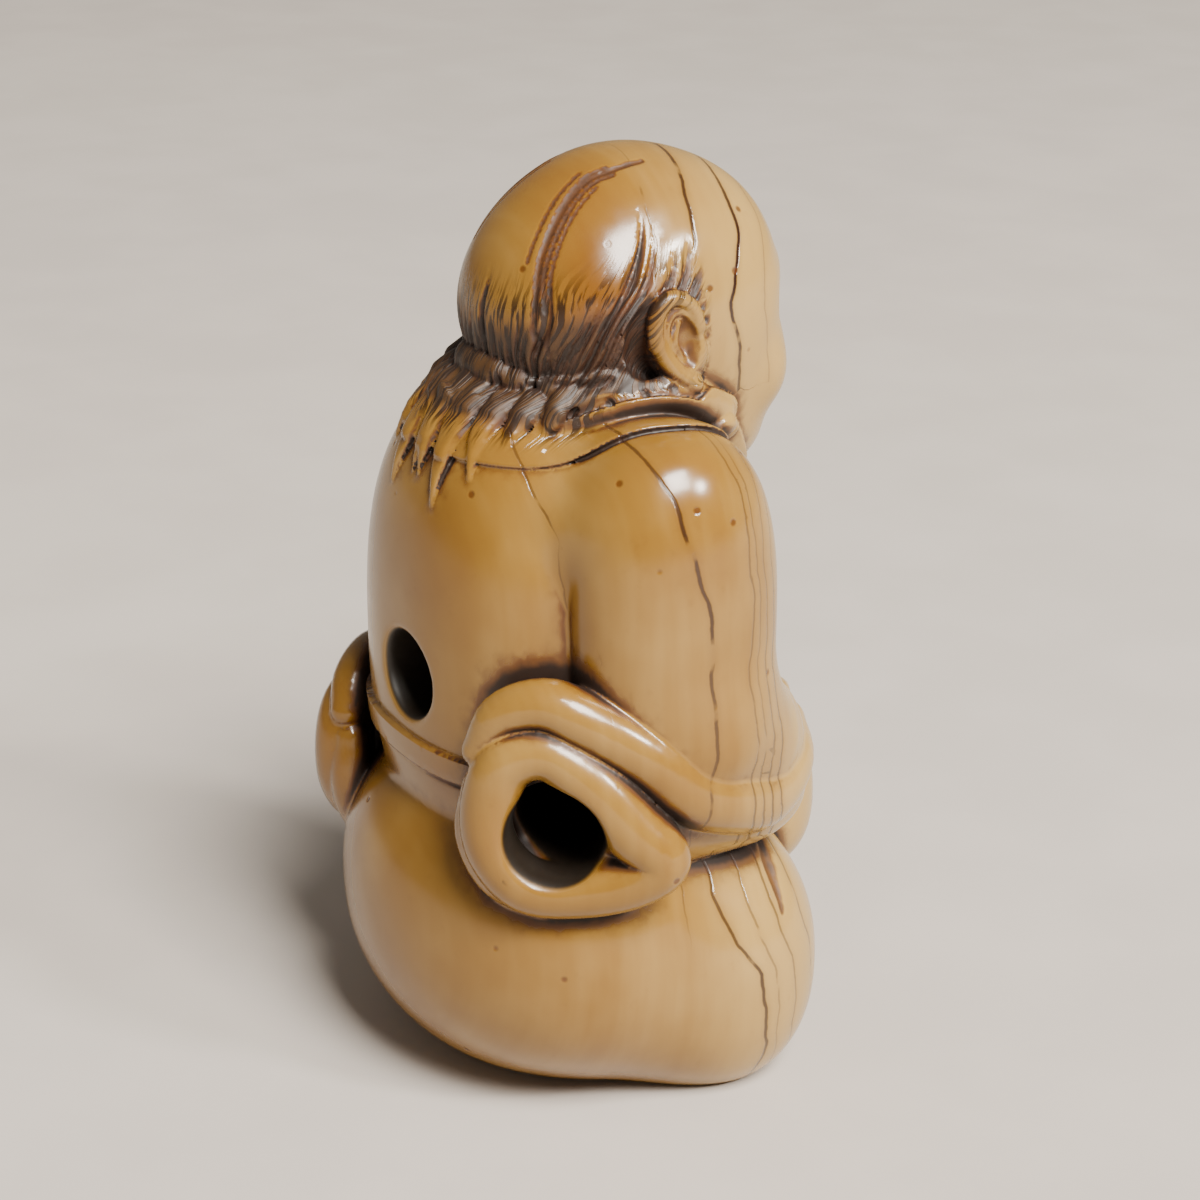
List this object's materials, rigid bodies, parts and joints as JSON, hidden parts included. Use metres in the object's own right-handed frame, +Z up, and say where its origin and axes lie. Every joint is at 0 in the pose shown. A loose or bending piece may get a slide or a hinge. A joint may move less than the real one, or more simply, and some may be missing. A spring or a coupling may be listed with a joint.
{
  "type": "netsuke",
  "caption": "Carved ivory toggle in the form of a seated, robed figure seen holding a bundle, with two joined cord holes and a flat underside to stand on.",
  "frame": {"origin": "on the flat underside, below the middle of the figure", "axes": "+Z up, the figure faces -Y, its right hand is on the -X side"},
  "size_m": [0.0313, 0.0269, 0.0504],
  "materials": {
    "ivory": "old polished elephant ivory, amber patina, dark stain in the carving"
  },
  "bodies": {
    "root": {"netsuke": "ivory"}
  },
  "joints": []
}
